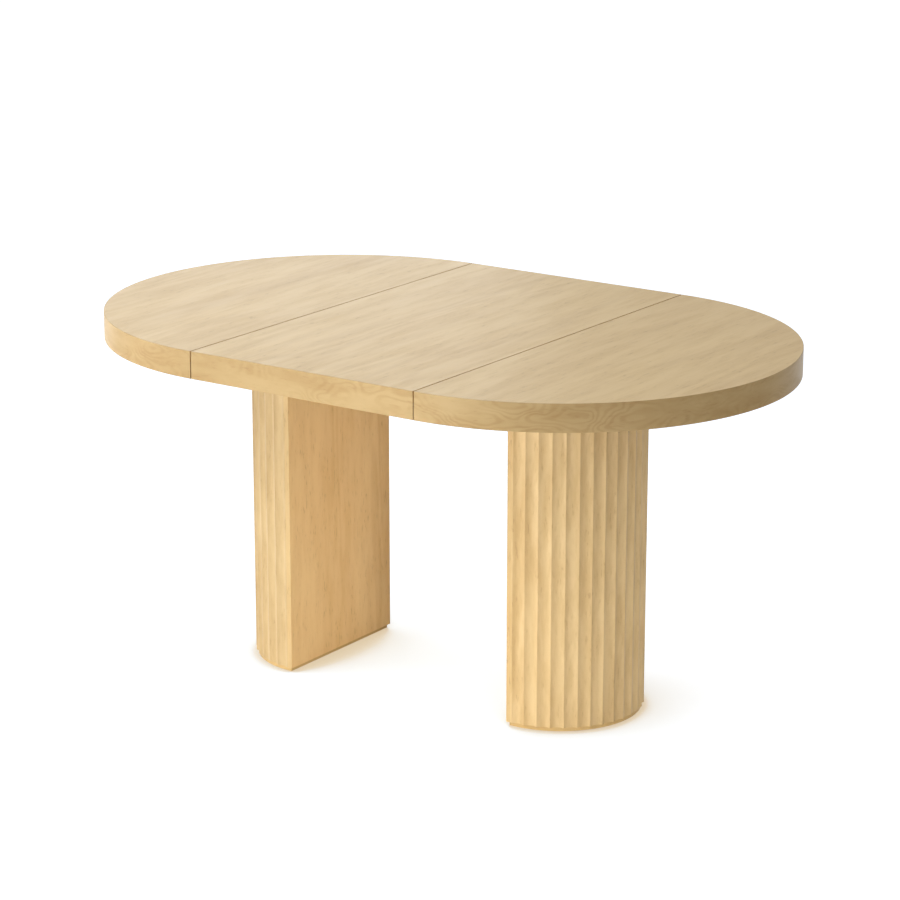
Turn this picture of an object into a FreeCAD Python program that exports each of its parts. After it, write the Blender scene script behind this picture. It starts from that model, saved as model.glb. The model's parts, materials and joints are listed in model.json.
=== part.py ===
import FreeCAD, Part
import math
import os

# Extending dining table, extended, with its drop-in leaf in place.
# Millimetres. +Z is up, X is the way the table extends, -Y is the front.
# The origin is on the floor under the middle of the leaf.

# Overall sizes
table_height = 750.0
round_diameter = 960.0
leaf_gap = 530.0
rim_height = 55.0
seam_gap = 2.4

# Boards of the top
panel_thickness = 22.0
apron_thickness = 24.0
band_thickness = 1.0
band_ease = 0.6
batten_width = 30.0
batten_height = 22.0
bearer_width = 60.0
bearer_screw_room = 30.0
tunnel_width = 120.0
notch_room = 3.0
glue_fit = 0.2
same_place = 0.01

# Columns
column_radius = 173.0
column_setback = 2.0
face_thickness = 10.0
shell_wall = 18.0
flute_count = 20
flute_depth = 4.2
flute_land = 1.0
flute_margin = 2.7
head_thickness = 22.0
former_thickness = 18.0
former_count = 2
plinth_height = 8.0
plinth_inset = 5.0
glide_diameter = 36.0
glide_height = 2.0
glide_edge = 14.0
glide_turn = 30.0

# Telescopic slides
runner_spacing = 400.0
runner_width = 32.0
runner_height = 20.0
runner_wall = 2.5
runner_end_room = 5.75
shoe_length = 20.0
spigot_length = 20.0
channel_wall = 2.5
channel_side_room = 3.5
channel_level_room = 2.5
channel_slot = 16.0
channel_start = 24.0
channel_end_room = 12.0
channel_screw_first = 90.0
channel_screw_last = 54.0
bush_length = 20.0
slide_fit = 0.3
press_fit = 0.1
crossbar_width = 40.0
crossbar_thickness = 5.0

# Rack and pinion
tooth_module = 2.0
pinion_teeth = 20
pressure_angle = 20.0
dedendum_factor = 1.25
flank_points = 6
pinion_height = 10.0
rack_height = 9.0
rack_back = 11.5
rack_lead = 19.0
rack_tail = 105.0
rack_screw_first = 22.5
rack_screw_pitch = 37.5
backlash = 0.3
gear_washer = 1.0
axle_diameter = 8.0
axle_head_diameter = 16.0
axle_head_height = 3.5
guide_thickness = 12.0
guide_height = 13.0
travel_gap = 1.5

# Leaf hooks
hook_thickness = 4.0
hook_width = 16.0
hook_pin_diameter = 6.0
hook_pin_head = 12.0
hook_pin_head_height = 3.0
hook_pin_grip = 12.0
hook_gap = 0.2
hook_front_inset = 95.0
hook_back_inset = 135.0
hook_play = 0.3
stud_inset = 15.0
stud_drop = 6.0
stud_grip = 14.0
pin_fit = 0.05

# Fasteners
screw_diameter = 4.0
screw_head_diameter = 8.0
screw_head_height = 2.2
screw_bite = 14.0
bolt_diameter = 8.0
bolt_head_diameter = 16.0
bolt_head_height = 5.5
bolt_grip = 25.0
bolt_edge = 16.0
bolt_turn = 52.3
bolt_batten_room = 12.0
bar_screw_diameter = 5.0
bar_screw_head = 9.0
bar_screw_head_height = 2.5
bar_screw_pitch = 20.0
bar_screw_end = 5.0
screw_fit = 0.1
cleat_length = 160.0
cleat_edge = 43.5
cleat_inset = 2.0

# Places worked out from the sizes above
seam_x = leaf_gap / 2
top_radius = round_diameter / 2
board_radius = top_radius - band_thickness
inner_radius = board_radius - apron_thickness
underside_z = table_height - panel_thickness
rim_bottom_z = table_height - rim_height
batten_bottom_z = underside_z - batten_height
leaf_x = seam_x - seam_gap
runner_y = runner_spacing / 2
channel_width = runner_width + 2 * (channel_side_room + channel_wall)
channel_height = runner_height + 2 * (channel_level_room + channel_wall)
runner_top_z = underside_z - channel_wall - channel_level_room
runner_bottom_z = runner_top_z - runner_height
channel_x = seam_x + channel_start
notch_half = channel_width / 2 + notch_room
column_x = seam_x + column_setback
shell_x = column_x + face_thickness
shell_inner_radius = column_radius - shell_wall
column_bottom_z = glide_height + plinth_height
bolt_radius = shell_inner_radius - bolt_edge
bolt_far_x = shell_x + bolt_radius * math.cos(math.radians(bolt_turn))
bolt_near_x = seam_x + batten_width + bolt_batten_room
bearer_y = bolt_radius * math.sin(math.radians(bolt_turn))
crossbar_bottom_z = runner_bottom_z - crossbar_thickness
close_travel = (leaf_gap - travel_gap) / 2
channel_chord = math.sqrt(inner_radius ** 2 - (runner_y + channel_width / 2) ** 2)
channel_end_x = seam_x + channel_chord - channel_end_room
shoe_end_x = channel_end_x - close_travel - runner_end_room
runner_end_x = shoe_end_x - shoe_length
pitch_radius = tooth_module * pinion_teeth / 2
dedendum = dedendum_factor * tooth_module
pinion_bottom_z = runner_bottom_z + gear_washer
pinion_top_z = pinion_bottom_z + pinion_height
rack_bottom_z = pinion_bottom_z + (pinion_height - rack_height) / 2
rack_top_z = rack_bottom_z + rack_height
rack_root_y = pitch_radius + dedendum
rack_back_y = rack_root_y + rack_back
hook_top_z = batten_bottom_z - hook_gap
hook_bottom_z = hook_top_z - hook_thickness
hook_pivot_x = seam_x + batten_width / 2
stud_x = leaf_x - stud_inset
cleat_end = leaf_x - cleat_edge
cleat_start = cleat_end - cleat_length

Z_AXIS = FreeCAD.Vector(0, 0, 1)


def vec(x, y, z=0.0):
    return FreeCAD.Vector(x, y, z)


def box(x0, x1, y0, y1, z0, z1):
    return Part.makeBox(x1 - x0, y1 - y0, z1 - z0, vec(x0, y0, z0))


def rod(x, y, z0, z1, diameter):
    return Part.makeCylinder(diameter / 2, z1 - z0, vec(x, y, z0), Z_AXIS)


def extrude(edges, z0, z1):
    """A prism from z0 to z1 on a closed chain of edges drawn at z = 0."""
    face = Part.Face(Part.Wire(edges))
    face.translate(vec(0, 0, z0))
    return face.extrude(vec(0, 0, z1 - z0))


def line(a, b):
    return Part.LineSegment(a, b).toShape()


def arc(a, middle, b):
    return Part.Arc(a, middle, b).toShape()


def polygon(points, z0, z1):
    closed = points + [points[0]]
    return extrude([line(a, b) for a, b in zip(closed, closed[1:])], z0, z1)


def half_disc(x, radius, z0, z1, straight=0.0):
    """A half disc bulging to +X, flat at x, with straight sides before the round part."""
    low = vec(x, -radius)
    high = vec(x, radius)
    low_bend = vec(x + straight, -radius)
    high_bend = vec(x + straight, radius)
    edges = [arc(low_bend, vec(x + straight + radius, 0), high_bend), line(high, low)]
    if straight > 0:
        edges = [line(low, low_bend), edges[0], line(high_bend, high), edges[1]]
    return extrude(edges, z0, z1)


def half_ring(x, outer, inner, z0, z1):
    edges = [
        arc(vec(x, -outer), vec(x + outer, 0), vec(x, outer)),
        line(vec(x, outer), vec(x, inner)),
        arc(vec(x, inner), vec(x + inner, 0), vec(x, -inner)),
        line(vec(x, -inner), vec(x, -outer)),
    ]
    return extrude(edges, z0, z1)


def countersunk(x, y, z, length, room=0.0):
    """A countersunk screw driven upwards, its head flush with z. room widens it into its hole."""
    head_radius = screw_head_diameter / 2 + room
    shank_radius = screw_diameter / 2 + room
    head = Part.makeCone(head_radius, shank_radius, screw_head_height, vec(x, y, z), Z_AXIS)
    shank = Part.makeCylinder(shank_radius, length + room, vec(x, y, z), Z_AXIS)
    return head.fuse(shank).removeSplitter()


def cut_all(shape, tools):
    return shape.cut(tools) if tools else shape


def group(shapes):
    return Part.makeCompound(shapes)


def solids_of(shapes):
    return [solid for shape in shapes for solid in shape.Solids]


# Half top, modelled on the right (+X) side


def top_screw_places():
    """(x, y, z, length) of the screws that hold the battens and bearers to the panel."""
    places = []
    outer_y = (runner_y + notch_half + inner_radius) / 2
    inner_y = (tunnel_width / 2 + runner_y - notch_half) / 2
    middle_x = seam_x + batten_width / 2
    for y in (-outer_y, -inner_y, inner_y, outer_y):
        places.append((middle_x, y, batten_bottom_z, batten_height + screw_bite))
    bearer_screw_x = shell_x + column_radius + bearer_screw_room
    for y in (-bearer_y, bearer_y):
        bearer_height = underside_z - rim_bottom_z
        places.append((bearer_screw_x, y, rim_bottom_z, bearer_height + screw_bite))
    return places


def channel_screw_places():
    places = []
    for x in (channel_x + channel_screw_first, channel_end_x - channel_screw_last):
        for y in (-runner_y, runner_y):
            places.append((x, y, underside_z - channel_wall, channel_wall + screw_bite))
    return places


def rack_screw_places():
    places = []
    first = seam_x + batten_width + rack_screw_first
    for x in (first, first + rack_screw_pitch):
        y = -(rack_root_y + rack_back / 2)
        places.append((x, y, rack_bottom_z, underside_z - rack_bottom_z + screw_bite))
    return places


def bolt_places():
    places = []
    for x in (bolt_near_x, bolt_far_x):
        places += [(x, -bearer_y), (x, bearer_y)]
    return places


def hook_places():
    return {"front": hook_front_inset - inner_radius, "back": inner_radius - hook_back_inset}


def screws(places):
    return [countersunk(*place) for place in places]


def screw_holes(places):
    return [countersunk(*place, room=screw_fit) for place in places]


def bolt(x, y, room=0.0):
    bottom = rim_bottom_z - head_thickness
    shank = rod(x, y, bottom, rim_bottom_z + bolt_grip + room, bolt_diameter + 2 * room)
    if room > 0:
        return shank
    head = rod(x, y, bottom - bolt_head_height, bottom, bolt_head_diameter)
    return shank.fuse(head).removeSplitter()


def bolt_holes():
    return [bolt(x, y, screw_fit) for x, y in bolt_places()]


def pivot_screw(y, room=0.0):
    head_top = hook_bottom_z - hook_gap
    end = batten_bottom_z + hook_pin_grip + room
    shank = rod(hook_pivot_x, y, head_top, end, hook_pin_diameter + 2 * room)
    if room > 0:
        return shank
    head = rod(hook_pivot_x, y, head_top - hook_pin_head_height, head_top, hook_pin_head)
    return shank.fuse(head).removeSplitter()


def top_panel():
    panel = half_disc(seam_x, board_radius, underside_z, table_height)
    places = top_screw_places() + channel_screw_places() + rack_screw_places()
    return cut_all(panel, screw_holes(places))


def apron():
    return half_ring(seam_x, board_radius, inner_radius, rim_bottom_z, underside_z)


def eased(shape, is_outer):
    """Rounds the edges that lie along the rim's outer top and bottom corners."""
    edges = [e for e in shape.Edges if is_outer(e)]
    return shape.makeFillet(band_ease, edges)


def edge_band():
    ring = half_ring(seam_x, top_radius, board_radius, rim_bottom_z, table_height)

    def is_outer(edge):
        radius = getattr(edge.Curve, "Radius", 0.0)
        return abs(radius - top_radius) < same_place

    return eased(ring, is_outer)


def batten_spans():
    outer = (runner_y + notch_half, inner_radius)
    inner = (tunnel_width / 2, runner_y - notch_half)
    spans = [outer, inner]
    return spans + [(-high, -low) for low, high in spans]


def seam_battens():
    inside = half_disc(seam_x, inner_radius - glue_fit, batten_bottom_z, underside_z)
    holes = screw_holes(top_screw_places())
    holes += [pivot_screw(y, screw_fit) for y in hook_places().values()]
    battens = []
    for y0, y1 in batten_spans():
        batten = box(seam_x, seam_x + batten_width, y0, y1, batten_bottom_z, underside_z)
        battens.append(batten.common(inside).cut(holes))
    return group(solids_of(battens))


def bearers():
    inside = half_disc(seam_x, inner_radius - glue_fit, rim_bottom_z, underside_z)
    holes = screw_holes(top_screw_places()) + bolt_holes()
    made = []
    for y in (-bearer_y, bearer_y):
        low = y - bearer_width / 2
        high = y + bearer_width / 2
        start = seam_x + batten_width
        bearer = box(start, seam_x + inner_radius, low, high, rim_bottom_z, underside_z)
        made.append(bearer.common(inside).cut(holes))
    return group(solids_of(made))


# Slides


def guide_channels():
    bottom = underside_z - channel_height
    end = channel_end_x
    holes = screw_holes(channel_screw_places())
    made = []
    for y in (-runner_y, runner_y):
        half = channel_width / 2
        inner = half - channel_wall
        outside = box(channel_x, end, y - half, y + half, bottom, underside_z)
        hollow_top = underside_z - channel_wall
        hollow = box(channel_x, end, y - inner, y + inner, bottom + channel_wall, hollow_top)
        slot_half = channel_slot / 2
        slot = box(channel_x, end, y - slot_half, y + slot_half, bottom, bottom + channel_wall)
        made.append(outside.cut([hollow, slot] + holes))
    return group(solids_of(made))


def guide_bushes():
    """Nylon sleeves pressed into the channel mouths, which the runners slide through."""
    made = []
    for y in (-runner_y, runner_y):
        half = runner_width / 2 + channel_side_room - press_fit
        level = channel_level_room - press_fit
        end = channel_x + bush_length
        sleeve = box(channel_x, end, y - half, y + half, runner_bottom_z - level, runner_top_z + level)
        room = runner_width / 2 + slide_fit
        low = runner_bottom_z - slide_fit
        way = box(channel_x, end, y - room, y + room, low, runner_top_z + slide_fit)
        made.append(sleeve.cut(way))
    return group(made)


def runner(y):
    """A centre runner: a rectangular tube that bridges the gap under the leaf."""
    half = runner_width / 2
    end = runner_end_x
    tube = box(-end, end, y - half, y + half, runner_bottom_z, runner_top_z)
    inner = half - runner_wall
    low = runner_bottom_z + runner_wall
    hollow = box(-end, end, y - inner, y + inner, low, runner_top_z - runner_wall)
    return tube.cut([hollow] + crossbar_screw_holes())


def runner_shoes():
    """Nylon end pieces that slide in the channels, each with a spigot in the runner's end."""
    made = []
    for y in (-runner_y, runner_y):
        half = runner_width / 2 + channel_side_room - slide_fit
        level = channel_level_room - slide_fit
        start = runner_end_x
        low = runner_bottom_z - level
        shoe = box(start, shoe_end_x, y - half, y + half, low, runner_top_z + level)
        thin = runner_width / 2 - runner_wall - press_fit
        low = runner_bottom_z + runner_wall + press_fit
        high = runner_top_z - runner_wall - press_fit
        spigot = box(start - spigot_length, start, y - thin, y + thin, low, high)
        right = shoe.fuse(spigot).removeSplitter()
        made += [right, right.mirror(vec(0, 0), vec(1, 0))]
    return group(solids_of(made))


def crossbar_screw_places():
    places = []
    for y in (-runner_y, runner_y):
        for x in (-bar_screw_pitch / 2, bar_screw_pitch / 2):
            places.append((x, y))
    return places


def crossbar_screw(x, y, room=0.0):
    end = runner_bottom_z + runner_wall + bar_screw_end
    shank = rod(x, y, crossbar_bottom_z, end, bar_screw_diameter + 2 * room)
    if room > 0:
        return shank
    head_bottom = crossbar_bottom_z - bar_screw_head_height
    head = rod(x, y, head_bottom, crossbar_bottom_z, bar_screw_head)
    return shank.fuse(head).removeSplitter()


def crossbar_screw_holes():
    return [crossbar_screw(x, y, screw_fit) for x, y in crossbar_screw_places()]


def crossbar():
    half = crossbar_width / 2
    end = runner_y + runner_width / 2
    bar = box(-half, half, -end, end, crossbar_bottom_z, runner_bottom_z)
    axle_hole = rod(0, 0, crossbar_bottom_z, runner_bottom_z, axle_diameter + 2 * screw_fit)
    return bar.cut(crossbar_screw_holes() + [axle_hole])


# Rack and pinion


def pinion():
    """An involute spur pinion with a tooth pointing along +Y at rest."""
    angle = math.radians(pressure_angle)
    base_radius = pitch_radius * math.cos(angle)
    tip_radius = pitch_radius + tooth_module
    root_radius = pitch_radius - dedendum
    pitch_half = math.pi / (2 * pinion_teeth) + math.tan(angle) - angle

    def flank_angle(radius):
        slope = math.acos(base_radius / radius)
        return pitch_half - (math.tan(slope) - slope)

    def at(radius, turn):
        return vec(-radius * math.sin(turn), radius * math.cos(turn))

    rise = (tip_radius - base_radius) / (flank_points - 1)
    radii = [base_radius + n * rise for n in range(flank_points)]
    edges = []
    for tooth in range(pinion_teeth):
        middle = 2 * math.pi * tooth / pinion_teeth
        rising = [at(r, middle - flank_angle(r)) for r in radii]
        falling = [at(r, middle + flank_angle(r)) for r in reversed(radii)]
        foot = at(root_radius, middle - flank_angle(base_radius))
        heel = at(root_radius, middle + flank_angle(base_radius))
        following = middle + 2 * math.pi / pinion_teeth
        next_foot = at(root_radius, following - flank_angle(base_radius))
        for points in (rising, falling):
            flank = Part.BSplineCurve()
            flank.interpolate(points)
            if points is rising:
                edges.append(line(foot, rising[0]))
            edges.append(flank.toShape())
            if points is rising:
                edges.append(arc(rising[-1], at(tip_radius, middle), falling[0]))
        edges.append(line(falling[-1], heel))
        edges.append(arc(heel, at(root_radius, (middle + following) / 2), next_foot))
    body = extrude(edges, pinion_bottom_z, pinion_top_z)
    bore = rod(0, 0, pinion_bottom_z, pinion_top_z, axle_diameter + 2 * pin_fit)
    return body.cut(bore)


def rack():
    """The right half's rack, in front of the pinion, with a tooth space at x = 0 at rest."""
    pitch = math.pi * tooth_module
    slope = math.tan(math.radians(pressure_angle))
    tip_y = -(pitch_radius - tooth_module)
    root_y = -rack_root_y
    half_at_pitch = (pitch / 2 - backlash) / 2
    half_tip = half_at_pitch - tooth_module * slope
    half_root = half_at_pitch + dedendum * slope
    end_x = seam_x + rack_tail
    first = -math.floor(rack_lead / pitch)
    count = int((close_travel + 2 * rack_lead) / pitch)
    points = [vec(end_x, -rack_back_y), vec(-rack_lead, -rack_back_y), vec(-rack_lead, root_y)]
    for n in range(count):
        middle = (first + n + 0.5) * pitch
        points.append(vec(middle - half_root, root_y))
        points.append(vec(middle - half_tip, tip_y))
        points.append(vec(middle + half_tip, tip_y))
        points.append(vec(middle + half_root, root_y))
    points.append(vec(end_x, root_y))
    bar = polygon(points, rack_bottom_z, rack_top_z)
    return bar.cut(screw_holes(rack_screw_places()))


def rack_block():
    """The packing block that hangs the rack from the panel."""
    start = seam_x + batten_width
    end = seam_x + rack_tail
    block = box(start, end, -rack_back_y, -rack_root_y, rack_top_z, underside_z)
    return block.cut(screw_holes(rack_screw_places()))


def pinion_axle():
    head_bottom = pinion_top_z + slide_fit
    shank = rod(0, 0, crossbar_bottom_z, head_bottom, axle_diameter)
    head = rod(0, 0, head_bottom, head_bottom + axle_head_height, axle_head_diameter)
    return shank.fuse(head).removeSplitter()


def pinion_washer():
    disc = rod(0, 0, runner_bottom_z, pinion_bottom_z, axle_head_diameter)
    return disc.cut(rod(0, 0, runner_bottom_z, pinion_bottom_z, axle_diameter + 2 * screw_fit))


def rack_guides():
    """Blocks on the crossbar that keep the racks in mesh."""
    half = crossbar_width / 2
    near = rack_back_y + slide_fit
    far = near + guide_thickness
    top = runner_bottom_z + guide_height
    made = [box(-half, half, near, far, runner_bottom_z, top)]
    made.append(box(-half, half, -far, -near, runner_bottom_z, top))
    return group(made)


# Column, modelled on the right (+X) side


def rim_point(radius, degrees):
    turn = math.radians(degrees)
    return vec(shell_x + radius * math.cos(turn), radius * math.sin(turn))


def column_shell():
    """The half-round shell, with concave flutes between narrow lands."""
    quarter = 90.0
    margin = math.degrees(flute_margin / column_radius)
    land = math.degrees(flute_land / column_radius)
    pitch = 2 * (quarter - margin) / flute_count
    edges = []
    plain_start = -quarter
    for n in range(flute_count):
        start = margin - quarter + n * pitch + land / 2
        end = start + pitch - land
        start_point = rim_point(column_radius, start)
        end_point = rim_point(column_radius, end)
        plain_point = rim_point(column_radius, plain_start)
        plain_middle = rim_point(column_radius, (plain_start + start) / 2)
        flute_middle = rim_point(column_radius - flute_depth, (start + end) / 2)
        edges.append(arc(plain_point, plain_middle, start_point))
        edges.append(arc(start_point, flute_middle, end_point))
        plain_start = end
    last = rim_point(column_radius, plain_start)
    last_middle = rim_point(column_radius, (plain_start + quarter) / 2)
    outer_high = rim_point(column_radius, quarter)
    outer_low = rim_point(column_radius, -quarter)
    inner_high = rim_point(shell_inner_radius, quarter)
    inner_low = rim_point(shell_inner_radius, -quarter)
    edges.append(arc(last, last_middle, outer_high))
    edges.append(line(outer_high, inner_high))
    edges.append(arc(inner_high, rim_point(shell_inner_radius, 0), inner_low))
    edges.append(line(inner_low, outer_low))
    return extrude(edges, column_bottom_z, rim_bottom_z)


def column_face():
    return box(column_x, shell_x, -column_radius, column_radius, column_bottom_z, rim_bottom_z)


def column_board(z0, z1):
    """A half-round board that fits inside the shell."""
    return half_disc(shell_x, shell_inner_radius - glue_fit, z0, z1)


def column_head():
    return column_board(rim_bottom_z - head_thickness, rim_bottom_z).cut(bolt_holes())


def column_base():
    return column_board(column_bottom_z, column_bottom_z + head_thickness)


def column_formers():
    low = column_bottom_z + head_thickness
    clear = rim_bottom_z - head_thickness - low
    made = []
    for n in range(former_count):
        middle = low + clear * (n + 1) / (former_count + 1)
        made.append(column_board(middle - former_thickness / 2, middle + former_thickness / 2))
    return group(made)


def plinth():
    radius = column_radius - plinth_inset
    straight = face_thickness - plinth_inset
    return half_disc(column_x + plinth_inset, radius, glide_height, column_bottom_z, straight)


def glides():
    """Felt discs under the plinth, two by the flat face and two on the round side."""
    reach = column_radius - plinth_inset - glide_edge - glide_diameter / 2
    near_x = column_x + plinth_inset + glide_edge + glide_diameter / 2
    near_half = math.sqrt(reach ** 2 - (near_x - shell_x) ** 2)
    far_turn = math.radians(glide_turn)
    far_x = shell_x + reach * math.cos(far_turn)
    far_half = reach * math.sin(far_turn)
    places = [(near_x, -near_half), (near_x, near_half), (far_x, -far_half), (far_x, far_half)]
    return group([rod(x, y, 0, glide_height, glide_diameter) for x, y in places])


# Leaf


def leaf_panel():
    return box(-leaf_x, leaf_x, -board_radius, board_radius, underside_z, table_height)


def leaf_apron(side):
    y0, y1 = sorted((side * inner_radius, side * board_radius))
    return box(-leaf_x, leaf_x, y0, y1, rim_bottom_z, underside_z)


def leaf_band(side):
    y0, y1 = sorted((side * board_radius, side * top_radius))
    strip = box(-leaf_x, leaf_x, y0, y1, rim_bottom_z, table_height)

    def is_outer(edge):
        ends = [v.Point for v in edge.Vertexes]
        outer = all(abs(p.y - side * top_radius) < same_place for p in ends)
        return outer and abs(ends[0].z - ends[1].z) < same_place

    return eased(strip, is_outer)


def stud_places():
    """The hooks' studs: the right seam's pair, and the left seam's pair turned half round."""
    right = [(stud_x, y) for y in hook_places().values()]
    return right + [(-x, -y) for x, y in right]


def stud(x, y, room=0.0):
    end = batten_bottom_z + stud_grip + room
    return rod(x, y, batten_bottom_z - stud_drop, end, hook_pin_diameter + 2 * room)


def lock_studs():
    return group([stud(x, y) for x, y in stud_places()])


def leaf_battens():
    holes = [stud(x, y, screw_fit) for x, y in stud_places()]
    made = []
    for x0, x1 in ((leaf_x - batten_width, leaf_x), (-leaf_x, -leaf_x + batten_width)):
        for y0, y1 in batten_spans():
            batten = box(x0, x1, y0, y1, batten_bottom_z, underside_z)
            made.append(batten.cut(holes))
    return group(solids_of(made))


def leaf_cleats():
    """Strips under the leaf that rest on the centre runners."""
    half = runner_width / 2 - cleat_inset
    made = []
    for y in (-runner_y, runner_y):
        for x0, x1 in ((cleat_start, cleat_end), (-cleat_end, -cleat_start)):
            made.append(box(x0, x1, y - half, y + half, runner_top_z, underside_z))
    return group(made)


# Leaf hooks, modelled on the right (+X) side


def leaf_hook(y):
    """A swivel hook whose mouth opens to +Y, closed round its stud at rest."""
    eye = rod(hook_pivot_x, y, hook_bottom_z, hook_top_z, hook_width)
    half = hook_width / 2
    arm = box(stud_x, hook_pivot_x, y - half, y + half, hook_bottom_z, hook_top_z)
    nose = rod(stud_x, y, hook_bottom_z, hook_top_z, hook_width)
    bore = rod(hook_pivot_x, y, hook_bottom_z, hook_top_z, hook_pin_diameter + 2 * pin_fit)
    mouth_diameter = hook_pin_diameter + 2 * hook_play
    seat = rod(stud_x, y, hook_bottom_z, hook_top_z, mouth_diameter)
    mouth_half = mouth_diameter / 2
    reach = hook_pivot_x - stud_x
    swing = math.asin((hook_width + mouth_diameter) / 2 / reach)
    flare = reach * (1 - math.cos(swing))
    mouth_end = stud_x + mouth_half + flare
    mouth = box(stud_x - mouth_half, mouth_end, y, y + hook_width, hook_bottom_z, hook_top_z)
    return eye.fuse([arm, nose]).cut([bore, seat, mouth]).removeSplitter()


def half_pieces():
    """Every piece of the right half, by name."""
    pieces = {
        "top_panel": top_panel(),
        "apron": apron(),
        "edge_band": edge_band(),
        "seam_battens": seam_battens(),
        "bearers": bearers(),
        "wood_screws": group(screws(top_screw_places() + channel_screw_places() + rack_screw_places())),
        "guide_channels": guide_channels(),
        "guide_bushes": guide_bushes(),
        "rack": rack(),
        "rack_block": rack_block(),
        "column_shell": column_shell(),
        "column_face": column_face(),
        "column_head": column_head(),
        "column_formers": column_formers(),
        "column_base": column_base(),
        "column_bolts": group([bolt(x, y) for x, y in bolt_places()]),
        "plinth": plinth(),
        "glides": glides(),
        "hook_pivots": group([pivot_screw(y) for y in hook_places().values()]),
    }
    for place, y in hook_places().items():
        pieces["hook_" + place] = leaf_hook(y)
    return pieces


def middle_pieces():
    """The leaf, the centre runners and the pinion."""
    return {
        "leaf_panel": leaf_panel(),
        "leaf_apron_front": leaf_apron(-1),
        "leaf_apron_back": leaf_apron(1),
        "leaf_band_front": leaf_band(-1),
        "leaf_band_back": leaf_band(1),
        "leaf_battens": leaf_battens(),
        "leaf_cleats": leaf_cleats(),
        "leaf_studs": lock_studs(),
        "runner_front": runner(-runner_y),
        "runner_back": runner(runner_y),
        "runner_shoes": runner_shoes(),
        "crossbar": crossbar(),
        "crossbar_screws": group([crossbar_screw(x, y) for x, y in crossbar_screw_places()]),
        "rack_guides": rack_guides(),
        "pinion": pinion(),
        "pinion_axle": pinion_axle(),
        "pinion_washer": pinion_washer(),
    }


def left_name(name):
    """The left half is the right half turned half round, so front and back change places."""
    swapped = {"hook_front": "hook_back", "hook_back": "hook_front"}
    return "left_" + swapped.get(name, name)


def main():
    os.makedirs("parts", exist_ok=True)
    nodes = middle_pieces()
    for name, shape in half_pieces().items():
        nodes["right_" + name] = shape
        turned = shape.copy()
        turned.rotate(vec(0, 0), Z_AXIS, 180)
        nodes[left_name(name)] = turned
    for name, shape in nodes.items():
        shape.exportStep("parts/" + name + ".step")
        print(name, len(shape.Solids), round(shape.Volume), shape.isValid())
    print("nodes", len(nodes))


main()
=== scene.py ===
import json
import math

import bpy
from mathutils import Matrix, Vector


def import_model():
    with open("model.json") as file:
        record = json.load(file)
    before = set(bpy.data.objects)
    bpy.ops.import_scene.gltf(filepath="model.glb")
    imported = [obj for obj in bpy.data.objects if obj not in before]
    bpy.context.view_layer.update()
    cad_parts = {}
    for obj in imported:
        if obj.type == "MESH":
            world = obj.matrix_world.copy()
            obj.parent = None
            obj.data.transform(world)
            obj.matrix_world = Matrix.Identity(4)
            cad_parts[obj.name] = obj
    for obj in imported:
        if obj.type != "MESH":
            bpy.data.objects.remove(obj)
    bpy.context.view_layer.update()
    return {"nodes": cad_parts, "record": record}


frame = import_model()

# Metres, in the same frame as the solids: X is the way the table extends, -Y is the front.

# Camera: degrees, and millimetres for the lens and the sensor
camera_place = (3.441, -4.913, 2.192)
camera_yaw = 34.92
camera_pitch = 15.90
camera_lens = 123.26
camera_sensor = 36.0

# Light: watts for a lamp's energy, degrees for its spread
fill_strength = 0.25
fill_colour = (1.0, 0.95, 0.87)
open_spread = 180.0
lamps = {
    "high_key": {"energy": 170.0, "size": (3.8, 2.9),
                 "place": (-2.6, -2.8, 4.6), "target": (0.4, 0.0, 0.6)},
    "left_key": {"energy": 172.0, "size": (2.4, 1.0),
                 "place": (-5.32, -3.73, 0.8), "target": (0.0, 0.0, 0.5)},
    "right_fill": {"energy": 32.0, "size": (2.4, 1.0),
                   "place": (4.98, -4.18, 0.8), "target": (0.0, 0.0, 0.5)},
    "back_sheen": {"energy": 17.5, "size": (2.2, 1.6),
                   "place": (-4.0, 4.4, 2.1), "target": (-0.5, 0.1, 0.75)},
    "over_right": {"energy": 7.0, "size": (1.8, 1.8),
                   "place": (1.0, -0.3, 3.6), "target": (0.8, -0.2, 0.7)},
    "low_fill": {"energy": 3.2, "size": (1.6, 0.6), "spread": 40.0,
                 "place": (-0.6, -3.0, 0.4), "target": (0.45, 0.0, 0.3)},
    "low_right": {"energy": 1.6, "size": (1.6, 0.4), "spread": 30.0,
                  "place": (3.2, -1.6, 0.25), "target": (0.3, 0.0, 0.1)},
}

# Floor: its glow on open ground, near the columns (painted shade) and at their feet (painted contact
# shadow), and how open the ground is there
floor_half = 60.0
floor_bounce = (0.90, 0.89, 0.87)
floor_shade = (0.20, 0.30, 0.44)
floor_far_glow = (1.0, 1.0, 1.0)
floor_painted_near_shade = (0.800, 0.740, 0.660)
floor_painted_contact_shadow = (0.68, 0.53, 0.345)
shadow_reach = 0.45
near_open = (0.55, 0.98)
near_samples = 8
contact_open = (0.55, 0.65)
contact_samples = 48

# Veneers: colour where the grain is palest, and where it is deepest
top_pale = (0.777, 0.567, 0.260)
top_deep = (0.614, 0.415, 0.172)
edge_pale = (0.577, 0.419, 0.212)
edge_deep = (0.444, 0.290, 0.125)
plinth_pale = (0.630, 0.435, 0.190)
plinth_deep = (0.510, 0.335, 0.137)
leg_pale = (0.722, 0.538, 0.285)
leg_deep = (0.559, 0.384, 0.176)
# Painted light: the flat faces of the columns are lighter and warmer than the leg veneer, for the shade
# they stand in
face_painted_light_pale = (0.885, 0.642, 0.318)
face_painted_light_deep = (0.745, 0.490, 0.212)
oak_pore = (0.400, 0.240, 0.105)
seam_brown = (0.480, 0.240, 0.045)
# Painted shade: how far the veneer of the left column is darkened
left_column_painted_shade = 0.88
# The flat face veneer's edges are darkened to the leg's tone, taking its painted light back off them
face_edge_tone_against_painted_light = 0.74

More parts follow.
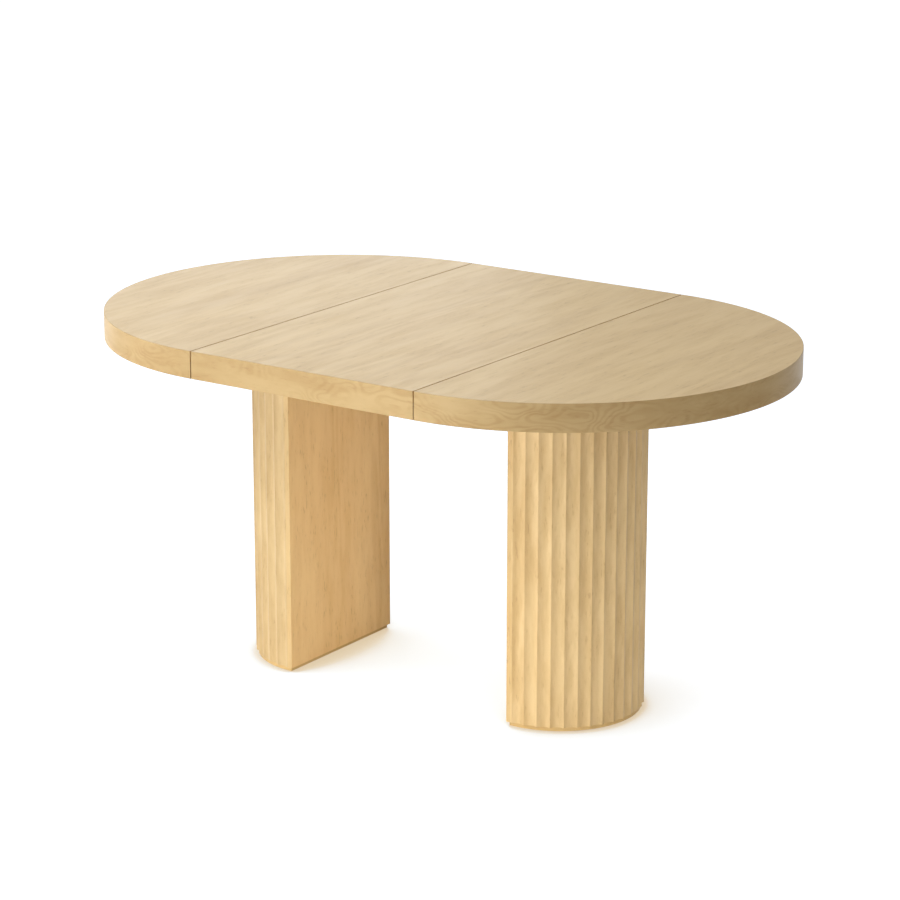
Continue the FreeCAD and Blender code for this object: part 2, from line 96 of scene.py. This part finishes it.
# Veneers: what the place is multiplied by on each axis, for the figure and for the grain
figure_along_y = (11.0, 1.3, 11.0)
figure_along_z = (16.0, 16.0, 1.5)
figure_level = (7.5, 7.5, 17.0)
grain_along_y = (260.0, 34.0, 260.0)
grain_along_z = (280.0, 280.0, 55.0)
grain_level = (60.0, 60.0, 260.0)

# Veneers: the scale of each noise, the span of it that counts, and its share in the colour or the relief
sway_scale = 1.7
sway_reach = (0.4, 0.4, 0.4)
swing_scale = 1.0
streak_scale = 0.16
streak_span = (0.34, 0.70)
feather_share = 1.6
ring_span = (-0.6, 1.0)
figured_scale = 0.7
figured_span = (0.42, 0.66)
tone_scale = 0.6
tone_span = (0.30, 0.72)
tone_share = 0.36
pore_scale = 1.0
pore_span = (0.57, 0.72)
pore_streak_span = (0.40, 0.66)
pore_shares = (0.08, 0.42)
oak_roughness = 0.27
oak_roughness_swing = 0.16
oak_streak_relief = 0.5
oak_relief = 0.00010

# Hidden pieces: colours, and what the place is multiplied by where there is a grain
board_pale = (0.46, 0.33, 0.19)
board_deep = (0.40, 0.27, 0.15)
board_fleck = (0.22, 0.14, 0.08)
board_fleck_share = 0.5
beech_pale = (0.62, 0.42, 0.26)
beech_deep = (0.52, 0.33, 0.19)
beech_fleck = (0.34, 0.19, 0.10)
beech_fleck_share = 0.45
beech_grain_along_x = (20.0, 220.0, 220.0)
beech_grain_along_y = (220.0, 20.0, 220.0)
aluminium_pale = (0.78, 0.79, 0.80)
aluminium_deep = (0.66, 0.67, 0.68)
drawn_along_x = (6.0, 1400.0, 1400.0)
zinc_pale = (0.70, 0.71, 0.73)
zinc_deep = (0.56, 0.57, 0.58)
nylon_deep = (0.018, 0.018, 0.020)
nylon_pale = (0.040, 0.040, 0.043)
felt_deep = (0.075, 0.066, 0.058)
felt_pale = (0.115, 0.100, 0.088)
felt_fibre = (0.20, 0.18, 0.16)
cloud_span = (0.3, 0.7)

# Plain colours, and how squarely a face has to look along X to count as doing so
black = (0.0, 0.0, 0.0)
white = (1.0, 1.0, 1.0)
square_on = (0.85, 0.95)


def opaque(colour):
    return (*colour, 1.0)


class Graph:
    """A material's node tree, with short ways to add and link nodes."""

    def __init__(self, name):
        self.material = bpy.data.materials.new(name)
        self.material.use_nodes = True
        self.tree = self.material.node_tree
        self.tree.nodes.clear()
        self.output = self.tree.nodes.new("ShaderNodeOutputMaterial")

    def node(self, kind, **settings):
        made = self.tree.nodes.new(kind)
        for name, value in settings.items():
            setattr(made, name, value)
        return made

    def feed(self, socket, value):
        """Links an output to a socket, or sets the socket to a plain value."""
        if isinstance(value, bpy.types.NodeSocket):
            self.tree.links.new(value, socket)
        else:
            socket.default_value = value

    def place(self):
        return self.node("ShaderNodeTexCoord").outputs["Object"]

    def scaled(self, vector, scale):
        made = self.node("ShaderNodeVectorMath", operation="MULTIPLY")
        self.feed(made.inputs[0], vector)
        self.feed(made.inputs[1], scale)
        return made.outputs[0]

    def moved(self, vector, offset):
        made = self.node("ShaderNodeVectorMath", operation="ADD")
        self.feed(made.inputs[0], vector)
        self.feed(made.inputs[1], offset)
        return made.outputs[0]

    def noise(self, vector, scale, detail=2.0, roughness=0.5, distortion=0.0, output="Fac"):
        made = self.node("ShaderNodeTexNoise")
        self.feed(made.inputs["Vector"], vector)
        self.feed(made.inputs["Scale"], scale)
        self.feed(made.inputs["Detail"], detail)
        self.feed(made.inputs["Roughness"], roughness)
        self.feed(made.inputs["Distortion"], distortion)
        return made.outputs[output]

    def math(self, operation, a, b=0.0):
        made = self.node("ShaderNodeMath", operation=operation)
        self.feed(made.inputs[0], a)
        self.feed(made.inputs[1], b)
        return made.outputs[0]

    def linear(self, value, share, base):
        """value times share, plus base."""
        return self.math("ADD", self.math("MULTIPLY", value, share), base)

    def span(self, value, low, high, to_low=0.0, to_high=1.0):
        """Maps low..high to to_low..to_high smoothly, clamped at both ends."""
        made = self.node("ShaderNodeMapRange", interpolation_type="SMOOTHSTEP")
        self.feed(made.inputs["Value"], value)
        self.feed(made.inputs["From Min"], low)
        self.feed(made.inputs["From Max"], high)
        self.feed(made.inputs["To Min"], to_low)
        self.feed(made.inputs["To Max"], to_high)
        return made.outputs["Result"]

    def mix(self, share, a, b):
        """The colour a where share is 0, and b where it is 1."""
        made = self.node("ShaderNodeMix", data_type="RGBA")
        self.feed(made.inputs[0], share)
        self.feed(made.inputs[6], a if isinstance(a, bpy.types.NodeSocket) else opaque(a))
        self.feed(made.inputs[7], b if isinstance(b, bpy.types.NodeSocket) else opaque(b))
        return made.outputs[2]

    def darkened(self, colour, mask, tone):
        """The colour, brought down to tone times itself where mask is 1."""
        return self.mix(self.math("MULTIPLY", mask, 1.0 - tone), colour, black)

    def along_x(self, vector):
        parts = self.node("ShaderNodeSeparateXYZ")
        self.feed(parts.inputs[0], vector)
        return parts.outputs["X"]

    def faces_along_x(self):
        """1 on faces that look along X, and 0 elsewhere."""
        normal = self.node("ShaderNodeTexCoord").outputs["Normal"]
        return self.span(self.math("ABSOLUTE", self.along_x(normal)), *square_on)

    def openness(self, samples):
        """1 on open ground, and less where something stands within the shadow's reach."""
        made = self.node("ShaderNodeAmbientOcclusion", samples=samples)
        self.feed(made.inputs["Distance"], shadow_reach)
        return made.outputs["AO"]

    def bump(self, height, depth):
        made = self.node("ShaderNodeBump")
        self.feed(made.inputs["Strength"], 1.0)
        self.feed(made.inputs["Distance"], depth)
        self.feed(made.inputs["Height"], height)
        return made.outputs["Normal"]

    def surface(self, colour, roughness, normal, metallic=0.0, specular=0.5):
        """The finished material, with these as its surface."""
        shader = self.node("ShaderNodeBsdfPrincipled")
        self.feed(shader.inputs["Base Color"], colour)
        self.feed(shader.inputs["Roughness"], roughness)
        self.feed(shader.inputs["Normal"], normal)
        self.feed(shader.inputs["Metallic"], metallic)
        self.feed(shader.inputs["Specular IOR Level"], specular)
        self.feed(self.output.inputs["Surface"], shader.outputs[0])
        return self.material

    def matt(self, colour):
        made = self.node("ShaderNodeBsdfDiffuse")
        self.feed(made.inputs["Color"], opaque(colour))
        return made.outputs[0]

    def glow(self, colour):
        made = self.node("ShaderNodeEmission")
        self.feed(made.inputs["Color"], colour)
        return made.outputs[0]

    def both(self, a, b):
        """The shaders a and b added together."""
        made = self.node("ShaderNodeAddShader")
        self.feed(made.inputs[0], a)
        self.feed(made.inputs[1], b)
        return made.outputs[0]

    def choice(self, share, a, b):
        """The shader a where share is 0, and b where it is 1."""
        made = self.node("ShaderNodeMixShader")
        self.feed(made.inputs[0], share)
        self.feed(made.inputs[1], a)
        self.feed(made.inputs[2], b)
        return made.outputs[0]


# Materials


def oak(name, pale, deep, figure, grain, rings, ring_share, streak_share, sheen,
        seams=False, left_painted_shade_tone=1.0, edge_tone_against_painted_light=1.0):
    """Oak veneer. figure and grain scale the broad figure and the fine grain on each axis.

    rings is how many growth lines the figure's swing is cut into. sheen is how much the lacquer
    reflects. With seams, faces that look along X are the dark edges of a seam. left_painted_shade_tone
    darkens the veneer on the left half of the table with painted shade. edge_tone_against_painted_light
    darkens the faces that do not look along X, taking the painted light of a veneer painted lighter back
    off them.
    """
    g = Graph(name)
    place = g.place()
    figure_place = g.scaled(place, figure)
    grain_place = g.scaled(place, grain)
    sway = g.scaled(g.noise(figure_place, sway_scale, output="Color"), sway_reach)
    swing = g.noise(g.moved(figure_place, sway), swing_scale, detail=1.0, roughness=0.3)
    streak = g.noise(grain_place, streak_scale, detail=4.0, roughness=0.62)
    feather = g.math("MULTIPLY", streak, feather_share)
    line = g.math("SINE", g.math("ADD", g.math("MULTIPLY", swing, rings * 2 * math.pi), feather))
    figured = g.span(g.noise(figure_place, figured_scale, detail=1.0), *figured_span)
    ring = g.math("MULTIPLY", g.math("MULTIPLY", g.span(line, *ring_span), figured), ring_share)
    tone = g.span(g.noise(figure_place, tone_scale, detail=3.0, roughness=0.6), *tone_span)
    depth = g.math("MULTIPLY", tone, tone_share)
    depth = g.math("ADD", depth, g.math("MULTIPLY", g.span(streak, *streak_span), streak_share))
    wood = g.mix(g.math("ADD", depth, ring), pale, deep)
    pore = g.span(g.noise(grain_place, pore_scale), *pore_span)
    pore_share = g.math("MULTIPLY", pore, g.span(streak, *pore_streak_span, *pore_shares))
    colour = g.mix(pore_share, wood, oak_pore)
    if seams:
        colour = g.mix(g.faces_along_x(), colour, seam_brown)
    # Painted shade: the veneer on the left half of the table is darkened
    if left_painted_shade_tone < 1.0:
        left = g.math("LESS_THAN", g.along_x(place), 0.0)
        colour = g.darkened(colour, left, left_painted_shade_tone)
    # The faces that do not look along X lose the painted light of a veneer that is painted lighter
    if edge_tone_against_painted_light < 1.0:
        edge = g.math("SUBTRACT", 1.0, g.faces_along_x())
        colour = g.darkened(colour, edge, edge_tone_against_painted_light)
    roughness = g.linear(streak, oak_roughness_swing, oak_roughness)
    height = g.math("SUBTRACT", g.math("MULTIPLY", streak, oak_streak_relief), pore)
    return g.surface(colour, roughness, g.bump(height, oak_relief), specular=sheen)


def fibreboard():
    """Raw fibreboard: fine pressed fibres with darker flecks."""
    g = Graph("fibreboard")
    place = g.place()
    fibre = g.noise(place, scale=900.0, detail=4.0, roughness=0.7)
    cloud = g.noise(place, scale=18.0, detail=3.0)
    fleck = g.span(g.noise(place, scale=420.0, detail=1.0), low=0.62, high=0.72)
    base = g.mix(g.span(cloud, *cloud_span), board_pale, board_deep)
    colour = g.mix(g.math("MULTIPLY", fleck, board_fleck_share), base, board_fleck)
    roughness = g.linear(fibre, share=0.2, base=0.7)
    return g.surface(colour, roughness, g.bump(fibre, depth=0.0002), specular=0.2)


def beech(name, grain):
    """Planed beech: pinkish, with short brown flecks along the grain."""
    g = Graph(name)
    place = g.scaled(g.place(), grain)
    streak = g.noise(place, scale=0.3, detail=3.0)
    fleck = g.span(g.noise(place, scale=2.2, detail=1.0), low=0.6, high=0.72)
    base = g.mix(g.span(streak, *cloud_span), beech_pale, beech_deep)
    colour = g.mix(g.math("MULTIPLY", fleck, beech_fleck_share), base, beech_fleck)
    roughness = g.linear(streak, share=0.2, base=0.5)
    return g.surface(colour, roughness, g.bump(streak, depth=0.0002), specular=0.3)


def aluminium():
    """Mill finish extrusion, with drawing lines along X."""
    g = Graph("aluminium")
    place = g.place()
    line = g.noise(g.scaled(place, drawn_along_x), scale=1.0, detail=3.0)
    cloud = g.noise(place, scale=22.0)
    colour = g.mix(g.span(cloud, *cloud_span), aluminium_pale, aluminium_deep)
    roughness = g.linear(line, share=0.25, base=0.25)
    return g.surface(colour, roughness, g.bump(line, depth=0.00004), metallic=1.0)


def steel():
    """Bright zinc plate, faintly cloudy."""
    g = Graph("zinc_plated_steel")
    place = g.place()
    cloud = g.noise(place, scale=160.0, detail=4.0, roughness=0.6)
    grit = g.noise(place, scale=1800.0)
    colour = g.mix(g.span(cloud, *cloud_span), zinc_pale, zinc_deep)
    roughness = g.linear(cloud, share=0.3, base=0.18)
    return g.surface(colour, roughness, g.bump(grit, depth=0.00002), metallic=1.0)


def nylon():
    """Black moulded nylon with a fine spark texture."""
    g = Graph("moulded_nylon")
    place = g.place()
    spark = g.noise(place, scale=1500.0)
    cloud = g.noise(place, scale=60.0)
    colour = g.mix(cloud, nylon_deep, nylon_pale)
    roughness = g.linear(spark, share=0.2, base=0.4)
    return g.surface(colour, roughness, g.bump(spark, depth=0.00005))


def felt():
    """Pressed felt: matted fibres of two greys."""
    g = Graph("pressed_felt")
    place = g.place()
    fibre = g.noise(place, scale=1300.0, detail=5.0, roughness=0.75, distortion=1.5)
    cloud = g.noise(place, scale=140.0, detail=3.0)
    base = g.mix(cloud, felt_deep, felt_pale)
    colour = g.mix(g.span(fibre, low=0.4, high=0.7), base, felt_fibre)
    return g.surface(colour, roughness=0.95, normal=g.bump(fibre, depth=0.0005), specular=0.1)


def finishes():
    """One material for each of the record's slots, and beech for the pieces that run along Y."""
    return {
        "oak_top": oak("oak_top_veneer", top_pale, top_deep, figure_along_y, grain_along_y,
                       rings=7.0, ring_share=0.22, streak_share=0.36, sheen=0.18, seams=True),
        "oak_edge": oak("oak_edge_veneer", edge_pale, edge_deep, figure_level, grain_level,
                        rings=17.0, ring_share=0.36, streak_share=0.36, sheen=0.07),
        "oak_fluted": oak("oak_fluted_veneer_with_painted_shade", leg_pale, leg_deep, figure_along_z, grain_along_z,
                          rings=6.0, ring_share=0.30, streak_share=0.55, sheen=0.14,
                          left_painted_shade_tone=left_column_painted_shade),
        "oak_face": oak("oak_face_veneer_painted_light", face_painted_light_pale, face_painted_light_deep, figure_along_z, grain_along_z,
                        rings=6.0, ring_share=0.30, streak_share=0.36, sheen=0.14,
                        edge_tone_against_painted_light=face_edge_tone_against_painted_light),
        "oak_plinth": oak("oak_plinth_veneer", plinth_pale, plinth_deep, figure_level, grain_level,
                          rings=9.0, ring_share=0.30, streak_share=0.30, sheen=0.14),
        "carcass": fibreboard(),
        "beech": beech("beech", beech_grain_along_x),
        "beech_along_y": beech("beech_along_y", beech_grain_along_y),
        "aluminium": aluminium(),
        "nylon": nylon(),
        "steel": steel(),
        "felt": felt(),
    }


def dress():
    """Gives every node the finish of its slot."""
    made = finishes()
    for subpart in frame["record"]["subparts"]:
        node = frame["nodes"][subpart["node"]]
        slot = subpart["material_slot"]
        if slot == "beech" and node.dimensions.y > node.dimensions.x:
            slot = "beech_along_y"
        node.data.materials.clear()
        node.data.materials.append(made[slot])


# Stage, light and camera


def seen_directly(tree):
    """1 for the camera and for what it sees through glass or in a reflection, and 0 for other light."""
    path = tree.nodes.new("ShaderNodeLightPath")
    seen = path.outputs["Is Camera Ray"]
    for kind in ("Is Transmission Ray", "Is Glossy Ray"):
        either = tree.nodes.new("ShaderNodeMath")
        either.operation = "MAXIMUM"
        tree.links.new(seen, either.inputs[0])
        tree.links.new(path.outputs[kind], either.inputs[1])
        seen = either.outputs[0]
    return seen


def floor():
    """A pale floor that the camera sees as white, apart from the shadow on it. It is clear from below.

    It glows less near the columns, a painted shade under which the lamps' shadow shows, and least at
    their feet, a painted contact shadow.
    """
    corners = [(-floor_half, -floor_half, 0), (floor_half, -floor_half, 0),
               (floor_half, floor_half, 0), (-floor_half, floor_half, 0)]
    mesh = bpy.data.meshes.new("floor")
    mesh.from_pydata(corners, [], [(0, 1, 2, 3)])
    made = bpy.data.objects.new("floor", mesh)
    bpy.context.scene.collection.objects.link(made)
    g = Graph("pale_floor_with_painted_shadow")
    # Painted shade: the glow is dimmed where the ground near the columns is less open
    far = g.span(g.openness(near_samples), *near_open)
    # Painted contact shadow: the glow drops further where the ground is closed in at the columns' feet
    painted_contact_shadow = g.span(g.openness(contact_samples), *contact_open, to_low=1.0, to_high=0.0)
    near_glow = g.glow(g.mix(painted_contact_shadow, floor_painted_near_shade, floor_painted_contact_shadow))
    far_glow = g.glow(opaque(floor_far_glow))
    seen = g.both(g.matt(floor_shade), g.choice(far, near_glow, far_glow))
    from_above = g.choice(seen_directly(g.tree), g.matt(floor_bounce), seen)
    clear = g.node("ShaderNodeBsdfTransparent").outputs[0]
    from_below = g.node("ShaderNodeNewGeometry").outputs["Backfacing"]
    g.feed(g.output.inputs["Surface"], g.choice(from_below, from_above, clear))
    mesh.materials.append(g.material)


def world():
    """White where the camera looks past the floor, and an even warm fill on the table."""
    made = bpy.data.worlds.new("studio")
    bpy.context.scene.world = made
    made.use_nodes = True
    tree = made.node_tree
    tree.nodes.clear()
    fill = tree.nodes.new("ShaderNodeBackground")
    fill.inputs["Color"].default_value = opaque(fill_colour)
    fill.inputs["Strength"].default_value = fill_strength
    backdrop = tree.nodes.new("ShaderNodeBackground")
    backdrop.inputs["Color"].default_value = opaque(white)
    choice = tree.nodes.new("ShaderNodeMixShader")
    tree.links.new(seen_directly(tree), choice.inputs[0])
    tree.links.new(fill.outputs[0], choice.inputs[1])
    tree.links.new(backdrop.outputs[0], choice.inputs[2])
    output = tree.nodes.new("ShaderNodeOutputWorld")
    tree.links.new(choice.outputs[0], output.inputs["Surface"])


def lamp(name, energy, size, place, target, spread=open_spread):
    data = bpy.data.lights.new(name, "AREA")
    data.shape = "RECTANGLE"
    data.size = size[0]
    data.size_y = size[1]
    data.energy = energy
    data.spread = math.radians(spread)
    made = bpy.data.objects.new(name, data)
    made.location = place
    aim = Vector(target) - Vector(place)
    made.rotation_euler = aim.to_track_quat("-Z", "Y").to_euler()
    made.visible_camera = False
    bpy.context.scene.collection.objects.link(made)


def camera():
    data = bpy.data.cameras.new("camera")
    data.lens = camera_lens
    data.sensor_width = camera_sensor
    made = bpy.data.objects.new("camera", data)
    made.location = camera_place
    made.rotation_euler = (math.radians(90 - camera_pitch), 0.0, math.radians(camera_yaw))
    bpy.context.scene.collection.objects.link(made)
    bpy.context.scene.camera = made


dress()
floor()
world()
for lamp_name, settings in lamps.items():
    lamp(lamp_name, **settings)
camera()
bpy.context.scene.view_settings.view_transform = "Standard"
